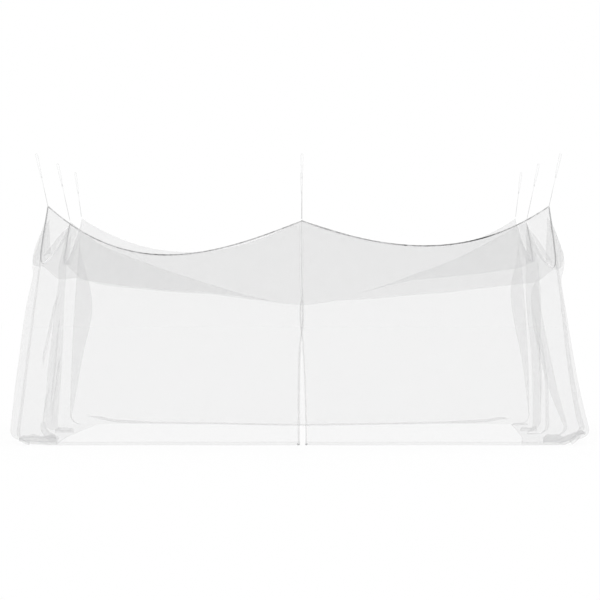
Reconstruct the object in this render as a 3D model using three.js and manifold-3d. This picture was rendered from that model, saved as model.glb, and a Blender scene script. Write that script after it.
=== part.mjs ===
// Garden mosquito net, hung at eight points over a floor. Millimetres, +Z up.
// +X runs along the long side, and -Y is the front, with the slit. The origin is the middle
// of the plane through the tops of the hanging loops. Heights here are measured from the floor.

import * as THREE from 'three';
import { mergeVertices } from 'three/addons/utils/BufferGeometryUtils.js';
import Module from 'manifold-3d';

const wasm = await Module();
wasm.setup();

// Driving sizes
const HANG_HEIGHT = 2323;
const HALF_LENGTH = 2000;
const HALF_DEPTH = 1500;
const CORNER_HEIGHT = 1905;
const FRONT_MIDDLE_HEIGHT = 1789;
const BACK_MIDDLE_HEIGHT = 1885;
const SIDE_MIDDLE_HEIGHT = 1828;
const MIDDLE_X = 28;
const ROOF_LOW_HEIGHT = 1108;
const FLOOR_FOLD_RADIUS = 90;
const CLOTH_THICKNESS = 1.2;
const GAP = 0.3;
const BINDING = { height: 10, thickness: 4 };
const CORD_DIAMETER = 4;
const LOOP = { length: 190, width: 20, mouth: 5.2, opening: 0.35, straight: 0.75 };
const KNOT = { length: 18, diameter: 12 };

// Top edges as hung: a row for each hang point along the edge, slopes in height per length
const FRONT_EDGE = [
  { place: -HALF_LENGTH, height: CORNER_HEIGHT, slopeAfter: -0.9 },
  { place: MIDDLE_X, height: FRONT_MIDDLE_HEIGHT, slopeBefore: 0.4, slopeAfter: -0.36 },
  { place: HALF_LENGTH, height: CORNER_HEIGHT, slopeBefore: 0.69 },
];
const BACK_EDGE = [
  { place: -HALF_LENGTH, height: CORNER_HEIGHT, slopeAfter: -0.66 },
  { place: MIDDLE_X, height: BACK_MIDDLE_HEIGHT, slopeBefore: 0.54, slopeAfter: -0.3 },
  { place: HALF_LENGTH, height: CORNER_HEIGHT, slopeBefore: 0.72 },
];

// The roof's ridge from the left to the right hang point, a row for each section
const RIDGE = [
  { place: -HALF_LENGTH, height: SIDE_MIDDLE_HEIGHT },
  { place: -1730, height: 1632 },
  { place: -1400, height: 1503 },
  { place: -1070, height: 1380 },
  { place: -730, height: 1280 },
  { place: -390, height: 1180 },
  { place: MIDDLE_X, height: ROOF_LOW_HEIGHT },
  { place: 360, height: 1172 },
  { place: 680, height: 1257 },
  { place: 990, height: 1372 },
  { place: 1300, height: 1482 },
  { place: 1700, height: 1672 },
  { place: HALF_LENGTH, height: SIDE_MIDDLE_HEIGHT },
];

// How far the roof hangs in the bay before and behind the ridge, a row for each section
const BAY_SAGS = [
  { place: -2000, front: 405, back: 385 },
  { place: -1900, front: 462, back: 440 },
  { place: -1780, front: 362, back: 412 },
  { place: -1400, front: 262, back: 315 },
  { place: -850, front: 188, back: 230 },
  { place: -400, front: 166, back: 208 },
  { place: 28, front: 175, back: 195 },
  { place: 560, front: 218, back: 150 },
  { place: 980, front: 273, back: 158 },
  { place: 1390, front: 335, back: 220 },
  { place: 1750, front: 440, back: 318 },
  { place: 1900, front: 498, back: 372 },
  { place: 2000, front: 440, back: 365 },
];

// How far a top edge bows outwards in each half, and at its middle hang point
const EDGE_BOWS = {
  front: { first: 30, middle: 0, second: 30 },
  back: { first: 30, middle: 0, second: 30 },
  left: { first: 140, middle: -34, second: 96 },
  right: { first: 135, middle: -38, second: 100 },
};

// How far each wall stands out from the straight line between its corners, a row for each fold
// and a column for each level
const LOW_LEVEL = 560;
const MIDDLE_LEVELS = { front: 1150, back: 1150, left: 1125, right: 1225 };
const WALL_FOLDS = {
  front: [
    { place: -2000, middle: 0, low: 12, floor: 30 },
    { place: -1500, middle: 26, low: 46, floor: 62 },
    { place: -950, middle: 12, low: 22, floor: 38 },
    { place: -450, middle: 30, low: 50, floor: 66 },
    { place: 28, middle: 14, low: 28, floor: 45 },
    { place: 500, middle: 32, low: 48, floor: 64 },
    { place: 1050, middle: 12, low: 22, floor: 36 },
    { place: 1550, middle: 28, low: 46, floor: 60 },
    { place: 2000, middle: 0, low: 12, floor: 30 },
  ],
  back: [
    { place: -2000, middle: 0, low: 8, floor: 20 },
    { place: -1400, middle: 26, low: 36, floor: 48 },
    { place: -800, middle: 6, low: -8, floor: -50 },
    { place: 28, middle: -20, low: -110, floor: -250 },
    { place: 850, middle: 10, low: -10, floor: -60 },
    { place: 1450, middle: 24, low: 34, floor: 44 },
    { place: 2000, middle: 0, low: 8, floor: 20 },
  ],
  left: [
    { place: -1500, middle: 106, low: 177, floor: 245 },
    { place: -1050, middle: 216, low: 300, floor: 362 },
    { place: -550, middle: 176, low: 240, floor: 305 },
    { place: -210, middle: 72, low: 105, floor: 155 },
    { place: 0, middle: 14, low: 44, floor: 84 },
    { place: 210, middle: 66, low: 100, floor: 140 },
    { place: 600, middle: 146, low: 205, floor: 276 },
    { place: 980, middle: 92, low: 150, floor: 200 },
    { place: 1260, middle: -112, low: -12, floor: 96 },
    { place: 1500, middle: 60, low: 90, floor: 110 },
  ],
  right: [
    { place: -1500, middle: 92, low: 175, floor: 275 },
    { place: -1050, middle: 155, low: 267, floor: 392 },
    { place: -750, middle: 112, low: 205, floor: 345 },
    { place: -500, middle: -46, low: 57, floor: 262 },
    { place: -360, middle: 33, low: 154, floor: 288 },
    { place: -230, middle: 0, low: 90, floor: 104 },
    { place: -110, middle: -14, low: 108, floor: 150 },
    { place: 0, middle: -46, low: 12, floor: 20 },
    { place: 200, middle: 40, low: 84, floor: 90 },
    { place: 600, middle: 140, low: 140, floor: 140 },
    { place: 980, middle: 78, low: 110, floor: 128 },
    { place: 1260, middle: -66, low: 42, floor: 116 },
    { place: 1500, middle: 74, low: 116, floor: 128 },
  ],
};

// Where the hems of the side walls lie on the floor, as far out as the folds are
const HEM_LINES = {
  left: [
    { place: -1500, out: -70 },
    { place: -300, out: -73 },
    { place: 1500, out: -170 },
  ],
  right: [
    { place: -1500, out: -220 },
    { place: -450, out: -128 },
    { place: 1500, out: -50 },
  ],
};

// The slit between the two front leaves: a row for each level of their edges, from the floor up
const SLIT_REACH = 650;
const LEAF_SETBACK = 2;
const SLIT_EDGES = [
  { place: 0, leftLeaf: -4, rightLeaf: 60 },
  { place: 880, leftLeaf: 24, rightLeaf: 24 },
  { place: 1300, leftLeaf: 38, rightLeaf: 6 },
  { place: FRONT_MIDDLE_HEIGHT, leftLeaf: 38, rightLeaf: 6 },
];

// How fast the pull of an edge dies away inside the sheet
const EDGE_PULL = 4;

// How finely the cloth and the cords are divided
const LENGTH_STEPS = 14;
const DEPTH_STEPS = 15;
const DOWN_ROWS = 10;
const FOLD_ROWS = 4;
const FLAP_ROWS = 3;
const END_CROWDING = 0.5;
const CORNER_INSET = 1.2;
const BINDING_INSET = 2.6;
const CORD_SIDES = 8;
const KNOT_BANDS = 4;
const LOOP_STEPS = 16;
const CROWN_TURNS = [45, 90, 135];
const WELD = 1e-4;

const NET = new THREE.MeshStandardMaterial({ color: 0xf1f1f2, roughness: 0.9, metalness: 0 });
const TAPE = new THREE.MeshStandardMaterial({ color: 0xb4b4b8, roughness: 0.8, metalness: 0 });
const STRING = new THREE.MeshStandardMaterial({ color: 0xeeeeee, roughness: 0.85, metalness: 0 });

const lerp = THREE.MathUtils.lerp;

function ease(share) {
  return share * share * (3 - 2 * share);
}

// A cubic between two places, with a value and a slope at each
function hermite(start, end, place) {
  const span = end.place - start.place;
  const t = (place - start.place) / span;
  const rise = ease(t);
  const leave = t * (1 - t) * (1 - t) * span;
  const arrive = t * t * (t - 1) * span;
  return lerp(start.value, end.value, rise) + start.slope * leave + end.slope * arrive;
}

// A swagged line that has its own slopes on the two sides of each hang point
function swag(rows, place) {
  const first = place <= rows[1].place ? 0 : 1;
  const start = rows[first];
  const end = rows[first + 1];
  return hermite(
    { place: start.place, value: start.height, slope: start.slopeAfter },
    { place: end.place, value: end.height, slope: end.slopeBefore },
    place,
  );
}

// A smooth line through one column of a table
function smooth(rows, column, place) {
  const last = rows.length - 1;
  let first = 0;
  while (first < last - 1 && place > rows[first + 1].place) {
    first += 1;
  }
  const knot = (index) => {
    const before = rows[Math.max(index - 1, 0)];
    const after = rows[Math.min(index + 1, last)];
    const slope = (after[column] - before[column]) / (after.place - before.place);
    return { place: rows[index].place, value: rows[index][column], slope };
  };
  return hermite(knot(first), knot(first + 1), place);
}

// Height of the roof over a place in plan
function roofHeight(x, y) {
  const front = y < 0;
  const edge = swag(front ? FRONT_EDGE : BACK_EDGE, x);
  const inwards = 1 - Math.abs(y) / HALF_DEPTH;
  const sag = smooth(BAY_SAGS, front ? 'front' : 'back', x);
  return lerp(edge, smooth(RIDGE, 'height', x), inwards) - 4 * inwards * (1 - inwards) * sag;
}

// The four top edges: long ones run along X, short ones along Y, and side is where they lie
const EDGES = {
  front: { long: true, side: -1, middle: MIDDLE_X, half: HALF_LENGTH },
  back: { long: true, side: 1, middle: MIDDLE_X, half: HALF_LENGTH },
  left: { long: false, side: -1, middle: 0, half: HALF_DEPTH },
  right: { long: false, side: 1, middle: 0, half: HALF_DEPTH },
};

function edgeBow(name, place) {
  const { middle, half } = EDGES[name];
  const bows = EDGE_BOWS[name];
  const first = place <= middle;
  const share = first ? (place + half) / (middle + half) : (half - place) / (half - middle);
  return (first ? bows.first : bows.second) * Math.sin(Math.PI * share) + bows.middle * share;
}

function edgeHeight(name, place) {
  const { long, side } = EDGES[name];
  return long ? roofHeight(place, side * HALF_DEPTH) : roofHeight(side * HALF_LENGTH, place);
}

// A plan point beside an edge, given its place along it and how far it stands out
function besideEdge(name, place, out) {
  const { long, side } = EDGES[name];
  const x = long ? place : side * (HALF_LENGTH + out);
  const y = long ? side * (HALF_DEPTH + out) : place;
  return new THREE.Vector2(x, y);
}

// How much longer the edge is than its level run, for what is measured square to it
function edgeStretch(name, place) {
  const { half } = EDGES[name];
  const step = 1;
  const before = Math.max(place - step, -half);
  const after = Math.min(place + step, half);
  const slope = (edgeHeight(name, after) - edgeHeight(name, before)) / (after - before);
  return Math.hypot(1, slope);
}

// Where a wall stands at a level: bowed at the top, then through its folds to the floor
function wallOut(name, place, top, height) {
  const folds = WALL_FOLDS[name];
  const line = [
    { place: 0, out: smooth(folds, 'floor', place) },
    { place: LOW_LEVEL, out: smooth(folds, 'low', place) },
    { place: MIDDLE_LEVELS[name], out: smooth(folds, 'middle', place) },
    { place: top, out: edgeBow(name, place) },
  ];
  return smooth(line, 'out', height);
}

// A side wall turns inwards over the floor, and the ends of the long walls follow it
function cornerOut(neighbour, place, top, height) {
  const turnTop = FLOOR_FOLD_RADIUS + CLOTH_THICKNESS / 2;
  const sunk = EDGES[neighbour].long ? 0 : Math.max(turnTop - height, 0) / FLOOR_FOLD_RADIUS;
  const drawn = FLOOR_FOLD_RADIUS * (1 - Math.sqrt(1 - sunk * sunk));
  return wallOut(neighbour, place, top, sunk > 0 ? turnTop : height) - drawn;
}

// A long wall spreads sideways to its corners, and a side wall leans with the long ones
function wallPlan(name, place, top, height) {
  const { long, side, half } = EDGES[name];
  const end = place < 0 ? -1 : 1;
  const share = Math.abs(place) / half;
  const neighbour = long ? (end < 0 ? 'left' : 'right') : end < 0 ? 'front' : 'back';
  const corner = cornerOut(neighbour, side * EDGES[neighbour].half, top, height);
  const drift = end * corner * (long ? share : share ** EDGE_PULL);
  return besideEdge(name, place + drift, wallOut(name, place, top, height));
}

// The slit's edges pull the front leaves sideways, and one leaf lies behind the other
function leafShift(leaf, place, top, height) {
  if (!leaf) {
    return new THREE.Vector2();
  }
  const reach = ease(Math.max(0, 1 - Math.abs(place - MIDDLE_X) / SLIT_REACH));
  const pull = smooth(SLIT_EDGES, leaf, height) - smooth(SLIT_EDGES, leaf, top);
  const setback = leaf === 'leftLeaf' ? -LEAF_SETBACK : LEAF_SETBACK;
  return new THREE.Vector2(pull * reach, setback * reach);
}

// Points down one line of a wall: the drop, then on a long wall the last of it to the hem,
// and on a side wall the turn on the floor and the cloth that lies there
function wallColumn(name, place, leaf) {
  const { long, side } = EDGES[name];
  const seam = edgeStretch(name, place) * (BINDING.height / 2 + GAP + CLOTH_THICKNESS / 2);
  const top = edgeHeight(name, place) - seam;
  const lie = CLOTH_THICKNESS / 2;
  const turnTop = lie + FLOOR_FOLD_RADIUS;
  const dropped = (height) => {
    const plan = wallPlan(name, place, top, height).add(leafShift(leaf, place, top, height));
    return new THREE.Vector3(plan.x, plan.y, height);
  };
  const rows = [];
  for (let row = 0; row <= DOWN_ROWS; row += 1) {
    rows.push(dropped(lerp(top, turnTop, row / DOWN_ROWS)));
  }
  const start = rows[DOWN_ROWS];
  for (let row = 1; row <= FOLD_ROWS; row += 1) {
    const angle = ((Math.PI / 2) * row) / FOLD_ROWS;
    const height = turnTop - FLOOR_FOLD_RADIUS * Math.sin(angle);
    const inwards = side * FLOOR_FOLD_RADIUS * (1 - Math.cos(angle));
    rows.push(long ? dropped(height) : new THREE.Vector3(start.x - inwards, start.y, height));
  }
  if (!long) {
    const turned = rows[rows.length - 1];
    const hem = side * (HALF_LENGTH + smooth(HEM_LINES[name], 'out', place));
    for (let row = 1; row <= FLAP_ROWS; row += 1) {
      rows.push(new THREE.Vector3(lerp(turned.x, hem, row / FLAP_ROWS), turned.y, lie));
    }
  }
  return rows;
}

// A closed thin solid on both sides of a grid of points
function sheetGeometry(grid, thickness) {
  const rows = grid.length;
  const columns = grid[0].length;
  const at = (row, column) =>
    grid[THREE.MathUtils.clamp(row, 0, rows - 1)][THREE.MathUtils.clamp(column, 0, columns - 1)];
  const positions = [];
  for (const side of [0.5, -0.5]) {
    for (let row = 0; row < rows; row += 1) {
      for (let column = 0; column < columns; column += 1) {
        const along = at(row, column + 1).clone().sub(at(row, column - 1));
        const down = at(row + 1, column).clone().sub(at(row - 1, column));
        const normal = down.cross(along).normalize();
        const point = at(row, column).clone().addScaledVector(normal, side * thickness);
        positions.push(point.x, point.y, point.z - HANG_HEIGHT);
      }
    }
  }
  const under = rows * columns;
  const index = [];
  const quad = (a, b, c, d) => index.push(a, b, c, a, c, d);
  for (let row = 0; row < rows - 1; row += 1) {
    for (let column = 0; column < columns - 1; column += 1) {
      const corner = row * columns + column;
      const below = corner + columns;
      quad(corner, below, below + 1, corner + 1);
      quad(under + corner, under + corner + 1, under + below + 1, under + below);
    }
  }
  const rim = [];
  for (let column = 0; column < columns - 1; column += 1) {
    rim.push(column);
  }
  for (let row = 0; row < rows - 1; row += 1) {
    rim.push(row * columns + columns - 1);
  }
  for (let column = columns - 1; column > 0; column -= 1) {
    rim.push((rows - 1) * columns + column);
  }
  for (let row = rows - 1; row > 0; row -= 1) {
    rim.push(row * columns);
  }
  rim.forEach((here, step) => {
    const next = rim[(step + 1) % rim.length];
    quad(here, next, under + next, under + here);
  });
  const geometry = new THREE.BufferGeometry();
  geometry.setAttribute('position', new THREE.Float32BufferAttribute(positions, 3));
  geometry.setIndex(index);
  geometry.computeVertexNormals();
  return geometry;
}

// Places along an edge, closer together near its hang points, with the ends drawn in a little
function edgePlaces(name, steps, inset) {
  const { middle, half } = EDGES[name];
  const crowded = (share) => share - (END_CROWDING * Math.sin(2 * Math.PI * share)) / (2 * Math.PI);
  const places = [];
  for (let step = 0; step < steps; step += 1) {
    places.push(lerp(-half, middle, crowded(step / steps)));
  }
  for (let step = 0; step <= steps; step += 1) {
    places.push(lerp(middle, half, crowded(step / steps)));
  }
  places[0] += inset;
  places[places.length - 1] -= inset;
  return places;
}

function stepsOf(name) {
  return EDGES[name].long ? LENGTH_STEPS : DEPTH_STEPS;
}

// Grid rows run down the wall, and its columns follow the edge so that the faces look outwards
function wallGeometry(name, places, leaf) {
  const ordered = name === 'front' || name === 'right' ? places : [...places].reverse();
  const columns = ordered.map((place) => wallColumn(name, place, leaf));
  const grid = columns[0].map((_, row) => columns.map((column) => column[row]));
  return sheetGeometry(grid, CLOTH_THICKNESS);
}

// One leaf of the front, from its corner past the middle by the overlap of the slit
function leafGeometry(leaf) {
  const places = edgePlaces('front', LENGTH_STEPS, CORNER_INSET);
  const edge = smooth(SLIT_EDGES, leaf, FRONT_MIDDLE_HEIGHT);
  const own =
    leaf === 'leftLeaf'
      ? [...places.filter((place) => place <= MIDDLE_X), edge]
      : [edge, ...places.filter((place) => place >= MIDDLE_X)];
  return wallGeometry('front', own, leaf);
}

function bindingGeometry(name) {
  const places = edgePlaces(name, stepsOf(name), BINDING_INSET);
  const ordered = name === 'front' || name === 'right' ? places : places.reverse();
  const line = (side) =>
    ordered.map((place) => {
      const plan = besideEdge(name, place, edgeBow(name, place));
      const lift = side * edgeStretch(name, place) * (BINDING.height / 2);
      return new THREE.Vector3(plan.x, plan.y, edgeHeight(name, place) + lift);
    });
  return sheetGeometry([line(1), line(-1)], BINDING.thickness);
}

// The roof follows the four edges at its rim, just inside the bindings
function roofGeometry() {
  const inset = BINDING.thickness / 2 + GAP + CLOTH_THICKNESS / 2;
  const across = edgePlaces('front', LENGTH_STEPS, 0);
  const deep = edgePlaces('left', DEPTH_STEPS, 0).reverse();
  const grid = deep.map((y) =>
    across.map((x) => {
      const sideways = Math.abs(x) / HALF_LENGTH;
      const forwards = Math.abs(y) / HALF_DEPTH;
      const bowX = edgeBow(x < 0 ? 'left' : 'right', y) * sideways ** EDGE_PULL;
      const bowY = edgeBow(y < 0 ? 'front' : 'back', x) * forwards ** EDGE_PULL;
      const drawnX = sideways === 1 ? inset : 0;
      const drawnY = forwards === 1 ? inset : 0;
      return new THREE.Vector3(
        x + Math.sign(x) * (bowX - drawnX),
        y + Math.sign(y) * (bowY - drawnY),
        roofHeight(x, y),
      );
    }),
  );
  return sheetGeometry(grid, CLOTH_THICKNESS);
}

function roundSection(diameter) {
  const points = Array.from({ length: CORD_SIDES }, (_, side) => {
    const angle = (2 * Math.PI * side) / CORD_SIDES;
    return new THREE.Vector2(Math.cos(angle), Math.sin(angle)).multiplyScalar(diameter / 2);
  });
  return new THREE.Shape(points);
}

function solidOf(geometry) {
  const bare = geometry.clone();
  bare.deleteAttribute('normal');
  bare.deleteAttribute('uv');
  const merged = mergeVertices(bare, WELD);
  const vertProperties = new Float32Array(merged.attributes.position.array);
  const triVerts = new Uint32Array(merged.index.array);
  return new wasm.Manifold(new wasm.Mesh({ numProp: 3, vertProperties, triVerts }));
}

function geometryOf(solid) {
  const mesh = solid.getMesh();
  const geometry = new THREE.BufferGeometry();
  geometry.setAttribute('position', new THREE.BufferAttribute(mesh.vertProperties, 3));
  geometry.setIndex(new THREE.BufferAttribute(mesh.triVerts, 1));
  geometry.computeVertexNormals();
  return geometry;
}

// One cord from its foot on the net to its hook: a stem, a tied knot and a narrow loop
function cordGeometry(foot, hook) {
  const up = hook.clone().sub(foot).normalize();
  const sideways = new THREE.Vector3(1, 0, 0).addScaledVector(up, -up.x).normalize();
  const knotPlace = hook.clone().addScaledVector(up, -LOOP.length);
  const from = (along, across) =>
    knotPlace.clone().addScaledVector(up, along).addScaledVector(sideways, across);
  const half = LOOP.width / 2 - CORD_DIAMETER / 2;
  const shoulder = LOOP.length - half;
  const strand = (side) => [
    from(0, (side * LOOP.mouth) / 2),
    from(shoulder * LOOP.opening, side * half * LOOP.straight),
    from(shoulder * LOOP.straight, side * half),
    from(shoulder, side * half),
  ];
  const crown = CROWN_TURNS.map((degrees) => {
    const angle = THREE.MathUtils.degToRad(degrees);
    return from(shoulder + half * Math.sin(angle), -half * Math.cos(angle));
  });
  const loopPath = new THREE.CatmullRomCurve3([
    ...strand(-1),
    ...crown,
    ...strand(1).reverse(),
  ]);
  const section = roundSection(CORD_DIAMETER);
  const stemPath = new THREE.LineCurve3(foot, from(0, 0));
  const stem = new THREE.ExtrudeGeometry(section, { steps: 1, extrudePath: stemPath });
  const loop = new THREE.ExtrudeGeometry(section, { steps: LOOP_STEPS, extrudePath: loopPath });
  const knot = new THREE.SphereGeometry(KNOT.diameter / 2, CORD_SIDES, KNOT_BANDS);
  knot.scale(1, KNOT.length / KNOT.diameter, 1);
  knot.applyQuaternion(new THREE.Quaternion().setFromUnitVectors(new THREE.Vector3(0, 1, 0), up));
  knot.translate(knotPlace.x, knotPlace.y, knotPlace.z);
  return geometryOf(solidOf(stem).add(solidOf(loop)).add(solidOf(knot)));
}

// Hanging cords: corner ones drop between the ends of two bindings, middle ones stand on one,
// and each leans out to its hook
const CORDS = [
  { name: 'front_left_cord', edge: 'front', place: -HALF_LENGTH, corner: true, leanX: -87, leanY: -60 },
  { name: 'front_middle_cord', edge: 'front', place: MIDDLE_X, corner: false, leanX: 0, leanY: -60 },
  { name: 'front_right_cord', edge: 'front', place: HALF_LENGTH, corner: true, leanX: 87, leanY: -60 },
  { name: 'right_middle_cord', edge: 'right', place: 0, corner: false, leanX: 104, leanY: 0 },
  { name: 'back_right_cord', edge: 'back', place: HALF_LENGTH, corner: true, leanX: 58, leanY: 60 },
  { name: 'back_middle_cord', edge: 'back', place: MIDDLE_X, corner: false, leanX: 0, leanY: 60 },
  { name: 'back_left_cord', edge: 'back', place: -HALF_LENGTH, corner: true, leanX: -62, leanY: 60 },
  { name: 'left_middle_cord', edge: 'left', place: 0, corner: false, leanX: -106, leanY: 0 },
];

// The slanting end of a middle cord is raised so that its low rim clears the binding too
function cordEnds({ edge, place, corner, leanX, leanY }) {
  const plan = besideEdge(edge, place, edgeBow(edge, place));
  const lean = Math.hypot(leanX, leanY) / (HANG_HEIGHT - edgeHeight(edge, place));
  const clear = GAP + (lean * CORD_DIAMETER) / 2;
  const rest = corner ? 0 : edgeStretch(edge, place) * (BINDING.height / 2) + clear;
  const foot = new THREE.Vector3(plan.x, plan.y, edgeHeight(edge, place) + rest - HANG_HEIGHT);
  const hook = new THREE.Vector3(plan.x + leanX, plan.y + leanY, -CORD_DIAMETER / 2);
  return { foot, hook };
}

const net = new THREE.Group();

function addPiece(name, geometry, material) {
  const piece = new THREE.Mesh(geometry, material.clone());
  piece.name = name;
  net.add(piece);
}

addPiece('roof', roofGeometry(), NET);
addPiece('front_left_panel', leafGeometry('leftLeaf'), NET);
addPiece('front_right_panel', leafGeometry('rightLeaf'), NET);
for (const name of ['left', 'right', 'back']) {
  const places = edgePlaces(name, stepsOf(name), CORNER_INSET);
  addPiece(`${name}_wall`, wallGeometry(name, places, null), NET);
}
for (const name of Object.keys(EDGES)) {
  addPiece(`${name}_binding`, bindingGeometry(name), TAPE);
}
for (const cord of CORDS) {
  const { foot, hook } = cordEnds(cord);
  addPiece(cord.name, cordGeometry(foot, hook), STRING);
}

export default net;
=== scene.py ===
import functools
import math
from collections import namedtuple

import bpy
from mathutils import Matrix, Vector, noise


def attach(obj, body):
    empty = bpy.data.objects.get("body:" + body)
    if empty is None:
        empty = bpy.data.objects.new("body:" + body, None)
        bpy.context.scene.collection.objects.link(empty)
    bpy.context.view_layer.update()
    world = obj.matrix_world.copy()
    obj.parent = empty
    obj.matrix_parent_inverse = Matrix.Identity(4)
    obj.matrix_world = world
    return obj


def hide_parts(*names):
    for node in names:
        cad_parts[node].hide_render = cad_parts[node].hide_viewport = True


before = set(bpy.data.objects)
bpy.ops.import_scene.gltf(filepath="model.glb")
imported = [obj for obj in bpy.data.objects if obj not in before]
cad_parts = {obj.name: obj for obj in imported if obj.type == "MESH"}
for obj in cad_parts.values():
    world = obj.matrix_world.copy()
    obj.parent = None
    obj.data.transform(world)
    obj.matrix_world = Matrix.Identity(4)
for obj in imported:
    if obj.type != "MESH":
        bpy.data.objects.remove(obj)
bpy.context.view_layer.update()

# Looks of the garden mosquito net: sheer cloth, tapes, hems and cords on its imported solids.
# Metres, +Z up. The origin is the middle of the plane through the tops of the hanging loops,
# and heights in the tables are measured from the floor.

# Sizes shared with the solids
HANG_HEIGHT = 2.323
HALF_LENGTH = 2.0
HALF_DEPTH = 1.5
CORNER_HEIGHT = 1.905
FRONT_MIDDLE_HEIGHT = 1.789
BACK_MIDDLE_HEIGHT = 1.885
SIDE_MIDDLE_HEIGHT = 1.828
MIDDLE_X = 0.028
ROOF_LOW_HEIGHT = 1.108
FLOOR_FOLD_RADIUS = 0.09
BINDING_HEIGHT = 0.010
PIECE_GAP = 0.0003
CORD_DIAMETER = 0.004
LOOP_LENGTH = 0.19
LOOP_WIDTH = 0.02
LOOP_MOUTH = 0.0052
LOOP_OPENING = 0.35
LOOP_STRAIGHT = 0.75
CROWN_TURNS = (45, 90, 135)
EDGE_PULL = 4

# The tapes are thinner than their solids. The sheets lie in the middle of theirs, so their gap to
# a tape or to the floor takes in half of a solid's thickness. A side wall starts to turn inwards
# at FLOOR_TURN.
BINDING_THICKNESS = 0.003
SEAM_GAP = 0.0009
FLOOR_TURN = FLOOR_FOLD_RADIUS + SEAM_GAP

# Top edges as hung: place, height, slope before and slope after each hang point
EDGE_LINES = {
    "front": [
        (-HALF_LENGTH, CORNER_HEIGHT, 0.0, -0.9),
        (MIDDLE_X, FRONT_MIDDLE_HEIGHT, 0.4, -0.36),
        (HALF_LENGTH, CORNER_HEIGHT, 0.69, 0.0),
    ],
    "back": [
        (-HALF_LENGTH, CORNER_HEIGHT, 0.0, -0.66),
        (MIDDLE_X, BACK_MIDDLE_HEIGHT, 0.54, -0.3),
        (HALF_LENGTH, CORNER_HEIGHT, 0.72, 0.0),
    ],
}

# The roof's ridge from the left to the right hang point: place, height
RIDGE = [
    (-HALF_LENGTH, SIDE_MIDDLE_HEIGHT),
    (-1.73, 1.632),
    (-1.4, 1.503),
    (-1.07, 1.38),
    (-0.73, 1.28),
    (-0.39, 1.18),
    (MIDDLE_X, ROOF_LOW_HEIGHT),
    (0.36, 1.172),
    (0.68, 1.257),
    (0.99, 1.372),
    (1.3, 1.482),
    (1.7, 1.672),
    (HALF_LENGTH, SIDE_MIDDLE_HEIGHT),
]

# How far the roof hangs before and behind the ridge: place, front bay, back bay
BAY_SAGS = [
    (-2.0, 0.405, 0.385),
    (-1.9, 0.462, 0.44),
    (-1.78, 0.362, 0.412),
    (-1.4, 0.262, 0.315),
    (-0.85, 0.188, 0.23),
    (-0.4, 0.166, 0.208),
    (0.028, 0.175, 0.195),
    (0.56, 0.218, 0.15),
    (0.98, 0.273, 0.158),
    (1.39, 0.335, 0.22),
    (1.75, 0.44, 0.318),
    (1.9, 0.498, 0.372),
    (2.0, 0.44, 0.365),
]

# How far a top edge bows outwards: first half, at the middle hang point, second half
EDGE_BOWS = {
    "front": (0.03, 0.0, 0.03),
    "back": (0.03, 0.0, 0.03),
    "left": (0.14, -0.034, 0.096),
    "right": (0.135, -0.038, 0.1),
}

# How far each wall stands out from the straight line between its corners:
# place, at the middle level, at the low level, at the floor
LOW_LEVEL = 0.56
MIDDLE_LEVELS = {"front": 1.15, "back": 1.15, "left": 1.125, "right": 1.225}
WALL_FOLDS = {
    "front": [
        (-2.0, 0.0, 0.012, 0.03),
        (-1.5, 0.026, 0.046, 0.062),
        (-0.95, 0.012, 0.022, 0.038),
        (-0.45, 0.03, 0.05, 0.066),
        (0.028, 0.014, 0.028, 0.045),
        (0.5, 0.032, 0.048, 0.064),
        (1.05, 0.012, 0.022, 0.036),
        (1.55, 0.028, 0.046, 0.06),
        (2.0, 0.0, 0.012, 0.03),
    ],
    "back": [
        (-2.0, 0.0, 0.008, 0.02),
        (-1.4, 0.026, 0.036, 0.048),
        (-0.8, 0.006, -0.008, -0.05),
        (0.028, -0.02, -0.11, -0.25),
        (0.85, 0.01, -0.01, -0.06),
        (1.45, 0.024, 0.034, 0.044),
        (2.0, 0.0, 0.008, 0.02),
    ],
    "left": [
        (-1.5, 0.106, 0.177, 0.245),
        (-1.05, 0.216, 0.3, 0.362),
        (-0.55, 0.176, 0.24, 0.305),
        (-0.21, 0.072, 0.105, 0.155),
        (0.0, 0.014, 0.044, 0.084),
        (0.21, 0.066, 0.1, 0.14),
        (0.6, 0.146, 0.205, 0.276),
        (0.98, 0.092, 0.15, 0.2),
        (1.26, -0.112, -0.012, 0.096),
        (1.5, 0.06, 0.09, 0.11),
    ],
    "right": [
        (-1.5, 0.092, 0.175, 0.275),
        (-1.05, 0.155, 0.267, 0.392),
        (-0.75, 0.112, 0.205, 0.345),
        (-0.5, -0.046, 0.057, 0.262),
        (-0.36, 0.033, 0.154, 0.288),
        (-0.23, 0.0, 0.09, 0.104),
        (-0.11, -0.014, 0.108, 0.15),
        (0.0, -0.046, 0.012, 0.02),
        (0.2, 0.04, 0.084, 0.09),
        (0.6, 0.14, 0.14, 0.14),
        (0.98, 0.078, 0.11, 0.128),
        (1.26, -0.066, 0.042, 0.116),
        (1.5, 0.074, 0.116, 0.128),
    ],
}

# Where the hems of the side walls lie on the floor: place, how far out
HEM_LINES = {
    "left": [(-1.5, -0.07), (-0.3, -0.073), (1.5, -0.17)],
    "right": [(-1.5, -0.22), (-0.45, -0.128), (1.5, -0.05)],
}

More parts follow.
